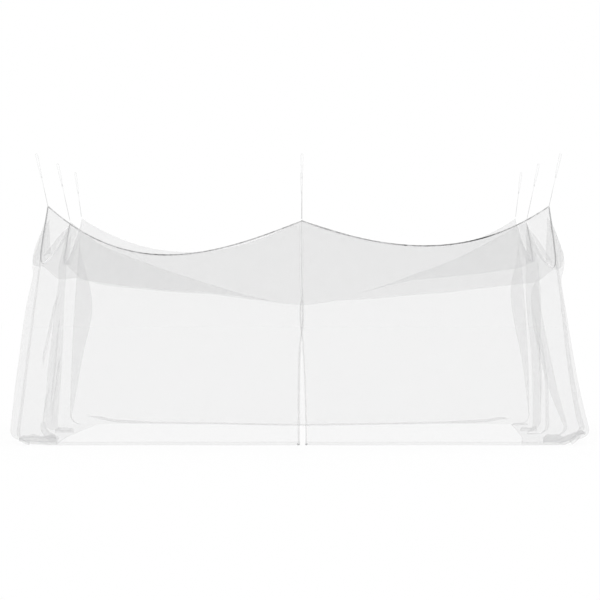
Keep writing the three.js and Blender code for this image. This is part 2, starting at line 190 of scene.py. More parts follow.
# Loose cloth along the side tapes: place, how far the wall puffs out, how full the roof's fold is,
# how high that fold stands. The far halves are alike.
PUFF_DEPTH = 0.045
FAR_PUFFS = [
    (0.0, 0.0, 0.0, 0.0),
    (0.1, 0.02, 0.3, 0.0),
    (0.35, 0.035, 0.6, 0.0),
    (0.75, 0.045, 0.7, 0.0),
    (1.2, 0.03, 0.5, 0.0),
    (1.4, 0.012, 0.2, 0.0),
    (1.5, 0.0, 0.0, 0.0),
]
PUFFS = {
    "left": [
        (-1.5, 0.0, 0.0, 0.0),
        (-1.42, 0.012, 0.32, 0.0),
        (-1.34, 0.024, 0.6, 0.01),
        (-1.25, 0.033, 0.82, 0.025),
        (-1.06, 0.05, 1.02, 0.045),
        (-0.75, 0.056, 1.05, 0.085),
        (-0.5, 0.036, 1.0, 0.135),
        (-0.3, 0.01, 0.95, 0.14),
        (-0.15, 0.0, 0.8, 0.1),
        (-0.06, 0.0, 0.45, 0.05),
        *FAR_PUFFS,
    ],
    "right": [
        (-1.5, 0.0, 0.0, 0.0),
        (-1.42, 0.014, 0.42, 0.0),
        (-1.34, 0.036, 0.7, 0.01),
        (-1.22, 0.054, 0.92, 0.025),
        (-1.1, 0.066, 1.08, 0.04),
        (-0.98, 0.06, 1.0, 0.055),
        (-0.75, 0.046, 0.85, 0.08),
        (-0.5, 0.026, 0.9, 0.125),
        (-0.3, 0.01, 0.9, 0.125),
        (-0.15, 0.0, 0.75, 0.09),
        (-0.06, 0.0, 0.42, 0.05),
        *FAR_PUFFS,
    ],
}

# The fold of spare roof cloth along a side tape: share of it, how far inwards, how far up
RIM_WIDTH = 0.2
RIM_STEPS = 24
RIM_BLEND = 0.6
RIM_ARCH = 0.62
RIM_LEAN = 0.3
RIM_FOLD = [
    (0.0, 0.0, 0.0),
    (0.1, 0.026, -0.004),
    (0.2, 0.05, -0.008),
    (0.27, 0.045, -0.014),
    (0.4, 0.005, -0.016),
    (0.52, -0.045, -0.012),
    (0.6, -0.062, -0.016),
    (0.68, -0.048, -0.028),
    (0.78, 0.0, -0.045),
    (0.88, 0.07, -0.08),
    (1.0, 0.2, -0.148),
]

# Creases of the walls: place and height at the top, at the foot, width, how far they stand out
CREASES = {
    "left": [
        (-0.05, 1.3, -0.33, 0.48, 0.034, 0.055),
        (0.02, 0.75, -0.12, 0.04, 0.025, 0.035),
        (-0.12, 0.5, -0.26, 0.02, 0.03, 0.03),
        (0.12, 1.1, 0.3, 0.12, 0.026, 0.03),
        (-0.16, 0.9, -0.2, 0.1, 0.022, 0.016),
        (0.8, 1.2, 0.7, 0.3, 0.06, 0.02),
    ],
    "right": [
        (0.1, 1.2, 0.3, 0.15, 0.026, 0.026),
        (-0.18, 1.0, -0.16, 0.12, 0.022, 0.016),
        (0.85, 1.2, 0.75, 0.3, 0.06, 0.02),
    ],
}

# The share of its length over which a crease dies out at each end
CREASE_END = 0.25

# How high over the floor the back hem's fold lies: place, height
BACK_HEM_END = 1.87
BACK_HEM_LINE = [
    (-1.87, 0.08),
    (-1.8, 0.058),
    (-1.73, 0.038),
    (-1.64, 0.013),
    (-1.52, 0.007),
    (-1.3, 0.004),
    (-0.6, 0.002),
    (0.0, 0.0),
    (0.7, 0.0),
    (1.3, 0.007),
    (1.58, 0.009),
    (1.68, 0.02),
    (1.78, 0.042),
    (1.87, 0.05),
]

# Rolls of spare cloth on the floor: side wall, start and end in plan, radii there, turns, bend,
# how far the start is held up by the wall's fold
TUCKS = {
    "front_left_tuck": ("left", (-2.24, -1.43), (-1.94, -1.39), 0.03, 0.045, 1.7, -0.02, 0.0),
    "fold_left_tuck": ("left", (-2.17, -0.33), (-1.97, -1.36), 0.022, 0.036, 1.25, 0.01, 0.095),
    "front_right_tuck": ("right", (1.965, -1.38), (2.3, -1.4), 0.05, 0.02, 2.0, 0.02, 0.0),
    "left_tuck": ("left", (-2.095, 0.01), (-1.935, 0.03), 0.031, 0.029, 1.0, 0.01, 0.0),
    "far_left_tuck": ("left", (-2.12, 0.3), (-1.965, 0.3), 0.006, 0.006, 1.0, -0.008, 0.0),
    "right_tuck": ("right", (1.95, -0.14), (2.064, -0.14), 0.007, 0.006, 1.5, 0.012, 0.0),
    "middle_right_tuck": ("right", (1.935, 0.3), (2.075, 0.26), 0.022, 0.025, 1.2, -0.01, 0.0),
    "far_right_tuck": ("right", (1.945, 1.24), (2.09, 1.26), 0.013, 0.014, 1.1, 0.015, 0.0),
}
TUCK_RINGS = 36
TUCK_STEPS = 20
TUCK_FLATNESS = 1.5
TUCK_END = 0.1
TUCK_THIN = 0.65
TUCK_DROP = 5
TUCK_CLEARANCE = 0.002
TUCK_SPIRAL = (0.55, 0.9)

# How much and how often a roll's thickness, its line and its surface vary
TUCK_LUMPS = 0.2
TUCK_LUMP_RATE = 5
TUCK_WAVER = 0.6
TUCK_WAVER_RATE = 6
TUCK_WAVER_SEED = 2.0
TUCK_CRUMPLE = 0.12
TUCK_CRUMPLE_RATES = (4, 0.8)

# The front corners are drawn up off the floor: how far, at which place along X, how far along X
# that reaches. How far it reaches along Y and upwards is the same for both.
CORNER_LIFTS = {"left": (0.02, 2.27, 0.3), "right": (0.08, 2.3, 0.2)}
LIFT_DEPTH_REACH = 0.6
LIFT_HEIGHT = 0.3

# The slit's two edges: height, left leaf, right leaf
SLIT_REACH = 0.65
LEAF_SETBACK = 0.002
SLIT_EDGES = [
    (0.0, 0.003, 0.053),
    (0.36, 0.003, 0.048),
    (0.62, 0.007, 0.039),
    (0.78, 0.013, 0.03),
    (0.86, 0.02, 0.024),
    (0.95, 0.033, 0.011),
    (1.08, 0.036, 0.008),
    (1.2, 0.029, 0.016),
    (1.35, 0.0225, 0.0225),
    (FRONT_MIDDLE_HEIGHT, 0.0225, 0.0225),
]
LEAF_COLUMNS = {"left": 1, "right": 2}

# How finely the cloth is divided
LENGTH_STEPS = 48
DEPTH_STEPS = 100
ROOF_STEPS = 56
DOWN_ROWS = 46
FOLD_ROWS = 6
FLAP_ROWS = 9
TOP_CROWDING = 1.6
END_CROWDING = 0.5

# Small unevenness of the walls: its rates along and down a wall
WRINKLE_DEPTH = 0.005
WRINKLE_RIM = 0.2
WRINKLE_WIDE_RATES = (2.1, 0.8)
WRINKLE_WIDE_SHARE = 1.6
WRINKLE_FINE_RATES = (6.3, 1.7)
WRINKLE_FINE_SEED = 3.1
WALL_SEED_STEP = 7.3

# The roof's unevenness, and the shares of its half length and half depth over which it fades
ROOF_RIMS = (0.1, 0.13)
ROOF_WIDE_RATE = 2.4
ROOF_WIDE_SEED = 5.2
ROOF_FINE_RATE = 6
ROOF_FINE_SEED = 8.1
ROOF_FINE_SHARE = 0.5

# Ripples of the cloth on the floor
FLOOR_RIPPLE = 0.012
RIPPLE_HEIGHT = 0.08
RIPPLE_FADE = 0.12
RIPPLE_RATE = 5.0
RIPPLE_SEED = 1.7

# Sizes of hems and seams
HEM_WIDTH = 0.029
SIDE_HEM_WIDTH = 0.007
BACK_HEM_WIDTH = 0.015
BACK_HEM_TAPER = 0.15
BACK_HEM_SPREAD = 0.03
SPREAD_START = 1.2
SPREAD_REACH = 0.45
SLIT_HEM_WIDTH = 0.011
SLIT_HEM_TOP = 1.15
SLIT_STITCH = (0.012, 0.016)
SLIT_CORNER = 0.015
HEM_STANDOFF = 0.0015
SEAM_RADII = {
    "front_left": (0.007, 0.014),
    "front_right": (0.0065, 0.024),
    "back_left": (0.002, 0.002),
    "back_right": (0.002, 0.002),
}
TUBE_SIDES = 8
TUBE_LEAN = (0.3, 0.5, 0.8)

# Tapes: how far a side tape leans out, how soon the wall under it hangs straight again, and the
# step over which an edge's slope is measured
TAPE_CORNERS = 4
TAPE_TWIST = math.radians(50)
TWIST_SPREAD = 0.4
TWIST_FADE = 0.03
SLOPE_STEP = 0.001

# The four top edges: along X or not, on which side, their middle and half length
Edge = namedtuple("Edge", "long side middle half")
EDGES = {
    "front": Edge(True, -1, MIDDLE_X, HALF_LENGTH),
    "back": Edge(True, 1, MIDDLE_X, HALF_LENGTH),
    "left": Edge(False, -1, 0.0, HALF_DEPTH),
    "right": Edge(False, 1, 0.0, HALF_DEPTH),
}

# Cords: edge, place, whether at a corner, lean along X and along Y
CORDS = {
    "front_left": ("front", -HALF_LENGTH, True, -0.087, -0.06),
    "front_middle": ("front", MIDDLE_X, False, 0.0, -0.06),
    "front_right": ("front", HALF_LENGTH, True, 0.087, -0.06),
    "right_middle": ("right", 0.0, False, 0.104, 0.0),
    "back_right": ("back", HALF_LENGTH, True, 0.058, 0.06),
    "back_middle": ("back", MIDDLE_X, False, 0.0, 0.06),
    "back_left": ("back", -HALF_LENGTH, True, -0.062, 0.06),
    "left_middle": ("left", 0.0, False, -0.106, 0.0),
}

# A cord's stem ends just under its knot, which is wound round the foot of the loop
STEM_END = 0.012
STEM_STEPS = 6
LOOP_STEPS = 4
CORD_ROUNDING = 3
KNOT_TURNS = 3
KNOT_STEPS = 14
KNOT_LENGTH = 0.0135
KNOT_RADIUS = 0.0042
KNOT_STRING_RADIUS = 0.0021

# The net's mesh: three waves whose sum is lowest in the threads and rises towards the holes.
# All mottling has the same detail.
MESH_PITCH = 0.0026
MESH_DIRECTIONS = (0, 60, 120)
THREAD_SUM = -1.5
HOLE_SUM = 1.0
NET_MOTTLE_SCALE = 1.3
NOISE_DETAIL = 3.0

# The tapes' weave, and where the side tapes turn paler towards their far bays as painted light
TAPE_RIB = 0.0016
TAPE_THREAD = 0.0012
TAPE_WEAVE_SHARE = 0.12
TAPE_MOTTLE_SCALE = 40.0
SIDE_PAINTED_LIGHT_START = 0.1
SIDE_PAINTED_LIGHT_END = 0.45
SIDE_PAINTED_LIGHT = 0.72

# Darker and paler stretches of the long tapes, painted shade and painted light along them: middle, how
# far they reach, how much darker
TAPE_STRETCHES = [
    (-2.0, 0.35, -0.22),
    (-1.13, 0.32, 0.27),
    (0.03, 0.2, -0.1),
    (0.4, 0.5, 0.08),
    (0.84, 0.05, 0.35),
    (1.03, 0.08, 0.22),
    (1.2, 0.5, 0.36),
    (1.46, 0.17, 0.5),
    (2.0, 0.35, -0.18),
]

# The cords' lay, and how far under the loop their paler upper part starts and is full: partly wear,
# partly painted light that lifts the knots out of their shade
LAY_SCALE = 130.0
LAY_DISTORTION = 0.6
STRING_MOTTLE = 0.12
STRING_MOTTLE_SCALE = 60.0
WEAR_AND_LIGHT_START = 0.14
WEAR_AND_LIGHT_FULL = 0.03
WEAR_AND_LIGHT_SHARE = 0.8

# Camera of the photograph, light and floor
CAMERA_PLACE = (0.0, -20.9, -1.086)
CAMERA_SENSOR = 36.0
CAMERA_LENS = 145.8
CAMERA_SHIFT = (0.0025, -0.0167)
CAMERA_REACH = 200.0
CLOTH_LAYERS = 48
SKY_STRENGTH = 1.0
FLOOR_GREY = 0.25
FLOOR_GLOW = 0.75
FLOOR_HALF = 60.0
FLOOR_DROP = 0.0005


def lerp(start, end, share):
    return start + (end - start) * share


def ease(share):
    return share * share * (3 - 2 * share)


# A cubic between two knots, each a place, a value and a slope
def hermite(start, end, place):
    span = end[0] - start[0]
    t = (place - start[0]) / span
    leave = t * (1 - t) * (1 - t) * span
    arrive = t * t * (t - 1) * span
    return lerp(start[1], end[1], ease(t)) + start[2] * leave + end[2] * arrive


# A swagged line that has its own slopes on the two sides of each hang point
def swag(rows, place):
    first = 0 if place <= rows[1][0] else 1
    start = rows[first]
    end = rows[first + 1]
    return hermite((start[0], start[1], start[3]), (end[0], end[1], end[2]), place)


# A smooth line through one column of a table
def smooth(rows, column, place):
    last = len(rows) - 1
    first = 0
    while first < last - 1 and place > rows[first + 1][0]:
        first += 1

    def knot(index):
        before = rows[max(index - 1, 0)]
        after = rows[min(index + 1, last)]
        slope = (after[column] - before[column]) / (after[0] - before[0])
        return (rows[index][0], rows[index][column], slope)

    return hermite(knot(first), knot(first + 1), place)


# Smooth unevenness between -1 and 1
def unevenness(x, y, z):
    return noise.noise(Vector((x, y, z)))


# Height of the roof over a place in plan
def roof_height(x, y):
    edge = swag(EDGE_LINES["front" if y < 0 else "back"], x)
    inwards = 1 - abs(y) / HALF_DEPTH
    sag = smooth(BAY_SAGS, 1 if y < 0 else 2, x)
    return lerp(edge, smooth(RIDGE, 1, x), inwards) - 4 * inwards * (1 - inwards) * sag


def edge_bow(name, place):
    edge = EDGES[name]
    first_bow, middle_bow, second_bow = EDGE_BOWS[name]
    if place <= edge.middle:
        share = (place + edge.half) / (edge.middle + edge.half)
        return first_bow * math.sin(math.pi * share) + middle_bow * share
    share = (edge.half - place) / (edge.half - edge.middle)
    return second_bow * math.sin(math.pi * share) + middle_bow * share


def edge_height(name, place):
    edge = EDGES[name]
    if edge.long:
        return roof_height(place, edge.side * HALF_DEPTH)
    return roof_height(edge.side * HALF_LENGTH, place)


# A plan point beside an edge, given its place along it and how far it stands out
def beside_edge(name, place, out):
    edge = EDGES[name]
    if edge.long:
        return (place, edge.side * (HALF_DEPTH + out))
    return (edge.side * (HALF_LENGTH + out), place)


# How much longer the edge is than its level run
def edge_stretch(name, place):
    half = EDGES[name].half
    before = max(place - SLOPE_STEP, -half)
    after = min(place + SLOPE_STEP, half)
    slope = (edge_height(name, after) - edge_height(name, before)) / (after - before)
    return math.hypot(1, slope)


def seam_height(name, place):
    return edge_height(name, place) - edge_stretch(name, place) * (BINDING_HEIGHT / 2 + SEAM_GAP)


# A side tape leans out between its hang points
def tape_twist(name, place):
    if EDGES[name].long:
        return 0.0
    return TAPE_TWIST * abs(math.sin(math.pi * place / HALF_DEPTH)) ** TWIST_SPREAD


# The wall of a side puffs out just under its tape
def puff(name, place, depth):
    if name not in PUFFS:
        return 0.0
    share = depth / PUFF_DEPTH
    return max(smooth(PUFFS[name], 1, place), 0.0) * share * math.exp(1 - share)


# How far a wall's folds stand out at the floor, the low level and the middle level
@functools.lru_cache(maxsize=None)
def fold_outs(name, place):
    folds = WALL_FOLDS[name]
    return tuple(smooth(folds, column, place) for column in (3, 2, 1))


# Where a wall stands at a height: under its tape at the top, then through its folds to the floor
def wall_out(name, place, top, height):
    floor, low, middle = fold_outs(name, place)
    line = [
        (0.0, floor),
        (LOW_LEVEL, low),
        (MIDDLE_LEVELS[name], middle),
        (top, edge_bow(name, place)),
    ]
    tucked = math.sin(tape_twist(name, place)) * BINDING_HEIGHT / 2
    depth = max(top - height, 0.0)
    loose = puff(name, place, depth) - tucked * math.exp(-depth / TWIST_FADE)
    return smooth(line, 1, height) + loose


# A crease is a soft ridge that runs down the wall and dies out at its ends
def crease(name, place, height):
    out = 0.0
    for top_place, top_height, foot_place, foot_height, width, depth in CREASES.get(name, []):
        share = (top_height - height) / (top_height - foot_height)
        if 0 < share < 1:
            offset = (place - lerp(top_place, foot_place, share)) / width
            full = ease(min(share / CREASE_END, (1 - share) / CREASE_END, 1.0))
            out += depth * full * math.exp(-offset * offset)
    return out


# A side wall turns inwards over the floor, and the ends of the long walls follow it
def corner_out(neighbour, place, top, height):
    sunk = 0.0 if EDGES[neighbour].long else max(FLOOR_TURN - height, 0.0) / FLOOR_FOLD_RADIUS
    drawn = FLOOR_FOLD_RADIUS * (1 - math.sqrt(max(1 - sunk * sunk, 0.0)))
    return wall_out(neighbour, place, top, FLOOR_TURN if sunk > 0 else height) - drawn


# Small uneven wrinkles, none at the seams
def wrinkle(name, place, top, height):
    inside = max(EDGES[name].half - abs(place), 0.0)
    rim = min(inside / WRINKLE_RIM, max(top - height, 0.0) / WRINKLE_RIM, 1.0)
    seed = list(EDGES).index(name) * WALL_SEED_STEP
    along, down = WRINKLE_WIDE_RATES
    wide = unevenness(place * along, height * down, seed)
    along, down = WRINKLE_FINE_RATES
    fine = unevenness(place * along, height * down, seed + WRINKLE_FINE_SEED)
    return WRINKLE_DEPTH * ease(rim) * (WRINKLE_WIDE_SHARE * wide + fine)


# A long wall spreads sideways to its corners, and a side wall leans with the long ones
def wall_plan(name, place, top, height):
    edge = EDGES[name]
    end = -1 if place < 0 else 1
    share = abs(place) / edge.half
    neighbours = ("left", "right") if edge.long else ("front", "back")
    neighbour = neighbours[0 if end < 0 else 1]
    corner = corner_out(neighbour, edge.side * EDGES[neighbour].half, top, height)
    drift = end * corner * (share if edge.long else share ** EDGE_PULL)
    loose = wrinkle(name, place, top, height) + crease(name, place, height)
    out = wall_out(name, place, top, height) + loose
    return beside_edge(name, place + drift, out)


# Where the slit's edge of a leaf is at the top, and which way the leaf lies from it
def slit_edge(leaf):
    place = smooth(SLIT_EDGES, LEAF_COLUMNS[leaf], FRONT_MIDDLE_HEIGHT)
    return (place, -1 if leaf == "left" else 1)


# The slit's edges pull the front leaves sideways, and one leaf lies behind the other
def leaf_shift(leaf, place, top, height):
    if leaf is None:
        return (0.0, 0.0)
    column = LEAF_COLUMNS[leaf]
    reach = ease(max(0.0, 1 - abs(place - MIDDLE_X) / SLIT_REACH))
    pull = smooth(SLIT_EDGES, column, height) - smooth(SLIT_EDGES, column, top)
    setback = -LEAF_SETBACK if leaf == "left" else LEAF_SETBACK
    return (pull * reach, setback * reach)


# A point of a wall at a height over the floor
def wall_point(name, place, leaf, height):
    top = seam_height(name, place)
    x, y = wall_plan(name, place, top, height)
    shift_x, shift_y = leaf_shift(leaf, place, top, height)
    return drawn_up(Vector((x + shift_x, y + shift_y, height)))


# The cloth is drawn up a little at the two front corners
def drawn_up(point):
    lift, place, reach = CORNER_LIFTS["left" if point.x < 0 else "right"]
    sideways = (abs(point.x) - place) / reach
    backwards = (point.y + HALF_DEPTH) / LIFT_DEPTH_REACH
    near = ease(max(1 - math.hypot(sideways, backwards), 0.0))
    low = ease(min(max(1 - point.z / LIFT_HEIGHT, 0.0), 1.0))
    return Vector((point.x, point.y, point.z + lift * near * low))


# Points down one line of a wall: a long wall drops to its hem, and a side wall turns
# on the floor and lies there
def wall_column(name, place, leaf):
    top = seam_height(name, place)
    heights = []
    for row in range(DOWN_ROWS + 1):
        heights.append(lerp(top, FLOOR_TURN, (row / DOWN_ROWS) ** TOP_CROWDING))
    if EDGES[name].long:
        heights += [height for _, height in floor_turn()]
        return [wall_point(name, place, leaf, height) for height in heights]
    hanging = [wall_point(name, place, leaf, height) for height in heights]
    return [floor_ripple(point) for point in hanging + lying_cloth(name, place, hanging[-1])]


# The turn of a side wall on the floor: how far inwards, height
def floor_turn():
    rows = []
    for row in range(1, FOLD_ROWS + 1):
        angle = math.pi / 2 * row / FOLD_ROWS
        inwards = FLOOR_FOLD_RADIUS * (1 - math.cos(angle))
        rows.append((inwards, FLOOR_TURN - FLOOR_FOLD_RADIUS * math.sin(angle)))
    return rows


# The cloth of a side wall from where it starts to turn to its hem
def lying_cloth(name, place, start):
    side = EDGES[name].side
    points = [Vector((start.x - side * inwards, start.y, height)) for inwards, height in floor_turn()]
    turned = points[-1]
    hem = side * (HALF_LENGTH + smooth(HEM_LINES[name], 1, place))
    for row in range(1, FLAP_ROWS + 1):
        points.append(Vector((lerp(turned.x, hem, row / FLAP_ROWS), turned.y, SEAM_GAP)))
    return [drawn_up(point) for point in points]


# Cloth near the floor lies in low ripples
def floor_ripple(point):
    near = ease(min(max(1 - point.z / RIPPLE_HEIGHT, 0.0), 1.0))
    near *= ease(min(max(HALF_DEPTH - abs(point.y), 0.0) / RIPPLE_FADE, 1.0))
    lift = 0.5 + 0.5 * unevenness(point.x * RIPPLE_RATE, point.y * RIPPLE_RATE, RIPPLE_SEED)
    return Vector((point.x, point.y, point.z + FLOOR_RIPPLE * near * max(lift, 0.0)))


# Places along an edge, closer together near its hang points
def edge_places(name, steps):
    edge = EDGES[name]

    def crowded(share):
        return share - END_CROWDING * math.sin(2 * math.pi * share) / (2 * math.pi)

    first = [lerp(-edge.half, edge.middle, crowded(step / steps)) for step in range(steps)]
    second = [lerp(edge.middle, edge.half, crowded(step / steps)) for step in range(steps + 1)]
    return first + second


def steps_of(name):
    return LENGTH_STEPS if EDGES[name].long else DEPTH_STEPS


def leaf_places(leaf):
    places = edge_places("front", LENGTH_STEPS)
    edge, _ = slit_edge(leaf)
    if leaf == "left":
        return [place for place in places if place <= MIDDLE_X] + [edge]
    return [edge] + [place for place in places if place >= MIDDLE_X]


# Places across the roof, close together in the folds along the side tapes
def roof_places():
    rim = [HALF_LENGTH - RIM_WIDTH * (step / RIM_STEPS) ** 2 for step in range(RIM_STEPS)]
    places = edge_places("front", ROOF_STEPS)
    inner = [place for place in places if abs(place) < HALF_LENGTH - RIM_WIDTH]
    return [-place for place in rim] + inner + rim[::-1]


# The fold of spare roof cloth along a side tape: how far a point lies in from the edge, its height
def rim_fold(side, x, y):
    share = min(math.sqrt((HALF_LENGTH - abs(x)) / RIM_WIDTH), 1.0)
    full = max(smooth(PUFFS[side], 2, y), 0.0) if share < 1 else 0.0
    stand = max(smooth(PUFFS[side], 3, y), 0.0) * math.sin(math.pi * min(share / RIM_ARCH, 1.0))
    inset = lerp(HALF_LENGTH - abs(x), smooth(RIM_FOLD, 1, share) + RIM_LEAN * stand, full)
    lying = roof_height(math.copysign(HALF_LENGTH - max(inset, 0.0), x), y)
    blend = ease(max(share - RIM_BLEND, 0.0) / (1 - RIM_BLEND))
    folded = lerp(edge_height(side, y) + smooth(RIM_FOLD, 2, share) + stand, lying, blend)
    return inset, lerp(lying, folded, full)


# Small wrinkles of the roof, none at its rim
def roof_wrinkle(x, y, sideways, forwards):
    side_rim, long_rim = ROOF_RIMS
    rim = ease(min((1 - sideways) / side_rim, (1 - forwards) / long_rim, 1.0))
    wide = unevenness(x * ROOF_WIDE_RATE, y * ROOF_WIDE_RATE, ROOF_WIDE_SEED)
    fine = unevenness(x * ROOF_FINE_RATE, y * ROOF_FINE_RATE, ROOF_FINE_SEED)
    return WRINKLE_DEPTH * rim * (wide + ROOF_FINE_SHARE * fine)


# One point of the roof, which follows the four edges at its rim
def roof_point(x, y):
    side = "left" if x < 0 else "right"
    inset, height = rim_fold(side, x, y)
    sideways = min(1 - inset / HALF_LENGTH, 1.0)
    forwards = abs(y) / HALF_DEPTH
    out_x = HALF_LENGTH - inset + edge_bow(side, y) * sideways ** EDGE_PULL
    out_y = abs(y) + edge_bow("front" if y < 0 else "back", x) * forwards ** EDGE_PULL
    height += roof_wrinkle(x, y, sideways, forwards)
    return Vector((math.copysign(out_x, x), math.copysign(out_y, y), height))


def in_frame(point):
    return (point.x, point.y, point.z - HANG_HEIGHT)


def running_lengths(points):
    lengths = [0.0]
    for before, after in zip(points, points[1:]):
        lengths.append(lengths[-1] + (after - before).length)
    return lengths


# A mesh whose UVs are the lengths along the cloth at each of its points
def cloth_mesh(name, rows, faces, lengths):
    mesh = bpy.data.meshes.new(name)
    mesh.from_pydata([in_frame(point) for row in rows for point in row], [], faces)
    cloth = mesh.uv_layers.new(name="Cloth")
    for loop in mesh.loops:
        cloth.data[loop.index].uv = lengths[loop.vertex_index]
    return mesh


# A sheet through rows of points
def grid_mesh(name, grid):
    columns = len(grid[0])
    faces = []
    for row in range(len(grid) - 1):
        for column in range(columns - 1):
            corner = row * columns + column
            faces.append((corner, corner + columns, corner + columns + 1, corner + 1))
    across = running_lengths(grid[len(grid) // 2])
    down = [running_lengths([row[column] for row in grid]) for column in range(columns)]
    lengths = []
    for row in range(len(grid)):
        lengths += [(across[column], down[column][row]) for column in range(columns)]
    mesh = cloth_mesh(name, grid, faces, lengths)
    mesh.shade_smooth()
    return mesh


# Faces round a row of closed rings, with a cap at each end
def ring_faces(rings, sides):
    faces = []
    for ring in range(rings - 1):
        for side in range(sides):
            here = ring * sides + side
            beside = ring * sides + (side + 1) % sides
            faces.append((here, beside, beside + sides, here + sides))
    last = (rings - 1) * sides
    faces.append(tuple(reversed(range(sides))))
    faces.append(tuple(range(last, last + sides)))
    return faces


# A round tube along a line of points, with a radius at each
def tube_mesh(name, points, radii):
    rings = []
    lean = Vector(TUBE_LEAN)
    for index, point in enumerate(points):
        ahead = points[min(index + 1, len(points) - 1)]
        behind = points[max(index - 1, 0)]
        along = (ahead - behind).normalized()
        lean = (lean - along * lean.dot(along)).normalized()
        other = along.cross(lean)
        ring = []
        for side in range(TUBE_SIDES):
            angle = 2 * math.pi * side / TUBE_SIDES
            ring.append(point + (lean * math.cos(angle) + other * math.sin(angle)) * radii[index])
        rings.append(ring)
    lengths = []
    for radius, length in zip(radii, running_lengths(points)):
        lengths += [(2 * math.pi * radius * side / TUBE_SIDES, length) for side in range(TUBE_SIDES)]
    mesh = cloth_mesh(name, rings, ring_faces(len(rings), TUBE_SIDES), lengths)
    mesh.shade_smooth()
    return mesh


def add_piece(name, data, materials, nodes=()):
    piece = bpy.data.objects.new(name, data)
    bpy.context.scene.collection.objects.link(piece)
    for material in materials:
        data.materials.append(material)
    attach(piece, "root")
    if nodes:
        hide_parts(*nodes)
    return piece


# Materials

def fill(node, values):
    for socket, value in values.items():
        node.inputs[socket].default_value = value


class Nodes:
    """A material's node tree with short ways to add and link nodes."""

    def __init__(self, name):
        self.material = bpy.data.materials.new(name)
        self.material.use_nodes = True
        self.tree = self.material.node_tree
        self.shader = self.tree.nodes["Principled BSDF"]

    def add(self, kind, **settings):
        node = self.tree.nodes.new(kind)
        for setting, value in settings.items():
            setattr(node, setting, value)
        return node

    def link(self, source, target):
        self.tree.links.new(source, target)

    def math(self, operation, first, second=None):
        node = self.add("ShaderNodeMath", operation=operation)
        for socket, value in zip(node.inputs, (first, second)):
            if value is None:
                continue
            if isinstance(value, (int, float)):
                socket.default_value = value
            else:
                self.link(value, socket)
        return node.outputs[0]

    def total(self, values):
        return functools.reduce(lambda first, second: self.math("ADD", first, second), values)

    def cloth(self):
        return self.add("ShaderNodeUVMap", uv_map="Cloth").outputs[0]

    def place(self):
        return self.add("ShaderNodeTexCoord").outputs["Object"]

    def split(self, vector):
        node = self.add("ShaderNodeSeparateXYZ")
        self.link(vector, node.inputs[0])
        return node.outputs

    def fade(self, value, start, end, low=0.0, high=1.0):
        node = self.add("ShaderNodeMapRange", interpolation_type="SMOOTHSTEP")
        fill(node, {"From Min": start, "From Max": end, "To Min": low, "To Max": high})
        self.link(value, node.inputs["Value"])
        return node.outputs["Result"]

    def noise(self, scale):
        node = self.add("ShaderNodeTexNoise")
        fill(node, {"Scale": scale, "Detail": NOISE_DETAIL})
        self.link(self.place(), node.inputs["Vector"])
        return node.outputs["Fac"]

    def colour(self, tone, low, high):
        node = self.add("ShaderNodeMix", data_type="RGBA")
        fill(node, {"A": (*low, 1), "B": (*high, 1)})
        self.link(tone, node.inputs["Factor"])
        self.link(node.outputs["Result"], self.shader.inputs["Base Color"])

    def bump(self, height, strength, distance):
        node = self.add("ShaderNodeBump")
        fill(node, {"Strength": strength, "Distance": distance})
        self.link(height, node.inputs["Height"])
        self.link(node.outputs[0], self.shader.inputs["Normal"])

    def finish(self, roughness, specular, glow=0.0):
        fill(self.shader, {"Roughness": roughness, "Specular IOR Level": specular})
        fill(self.shader, {"Emission Color": (1, 1, 1, 1), "Emission Strength": glow})


# Knitted net: threads round six-sided holes, with the share of thread as its cover
def net_material(name, low, high, thin, thick):
    nodes = Nodes(name)
    turns = 2 * math.pi / (MESH_PITCH * math.cos(math.radians(30)))
    waves = []
    for degrees in MESH_DIRECTIONS:
        angle = math.radians(degrees)
        dot = nodes.add("ShaderNodeVectorMath", operation="DOT_PRODUCT")
        dot.inputs[1].default_value = (turns * math.cos(angle), turns * math.sin(angle), 0)
        nodes.link(nodes.cloth(), dot.inputs[0])
        waves.append(nodes.math("COSINE", dot.outputs["Value"]))
    cover = nodes.fade(nodes.total(waves), THREAD_SUM, HOLE_SUM, low=thick, high=thin)
    nodes.link(cover, nodes.shader.inputs["Alpha"])
    nodes.colour(nodes.noise(NET_MOTTLE_SCALE), low, high)
    nodes.bump(cover, strength=0.2, distance=0.0004)
    nodes.finish(roughness=0.9, specular=0.1)
    return nodes.material


# Long tapes are darker in a few stretches of their bays and paler by their corners: painted shade and
# painted light
def long_painted_light_and_shade(nodes, place):
    spots = []
    for middle, reach, darker in TAPE_STRETCHES:
        away = nodes.math("ABSOLUTE", nodes.math("SUBTRACT", place["X"], middle))
        spots.append(nodes.fade(away, 0.0, reach, low=-darker, high=0.0))
    return nodes.total(spots)


# Side tapes are paler in their far bays: painted light
def side_painted_light(nodes, place):
    return nodes.fade(place["Y"], SIDE_PAINTED_LIGHT_START, SIDE_PAINTED_LIGHT_END, high=SIDE_PAINTED_LIGHT)


# Woven tape with a rib across it and a faint mottle
def tape_material(name, low, high, mottling, fade=None, glow=0.0):
    nodes = Nodes(name)
    cloth = nodes.split(nodes.cloth())
    along = nodes.math("SINE", nodes.math("MULTIPLY", cloth["X"], 2 * math.pi / TAPE_RIB))
    across = nodes.math("SINE", nodes.math("MULTIPLY", cloth["Y"], 2 * math.pi / TAPE_THREAD))
    weave = nodes.math("MULTIPLY", along, across)
    ribs = nodes.math("MULTIPLY", weave, TAPE_WEAVE_SHARE)
    mottle = nodes.math("ADD", nodes.noise(TAPE_MOTTLE_SCALE), ribs)
    tone = nodes.math("MULTIPLY", mottle, mottling)
    # A tone along the tape: painted shade and light on the long tapes, painted light on the side ones
    if fade:
        tone = nodes.math("ADD", tone, fade(nodes, nodes.split(nodes.place())))
    nodes.colour(tone, low, high)
    nodes.bump(weave, strength=0.4, distance=0.0003)
    nodes.finish(roughness=0.85, specular=0.15, glow=glow)
    return nodes.material
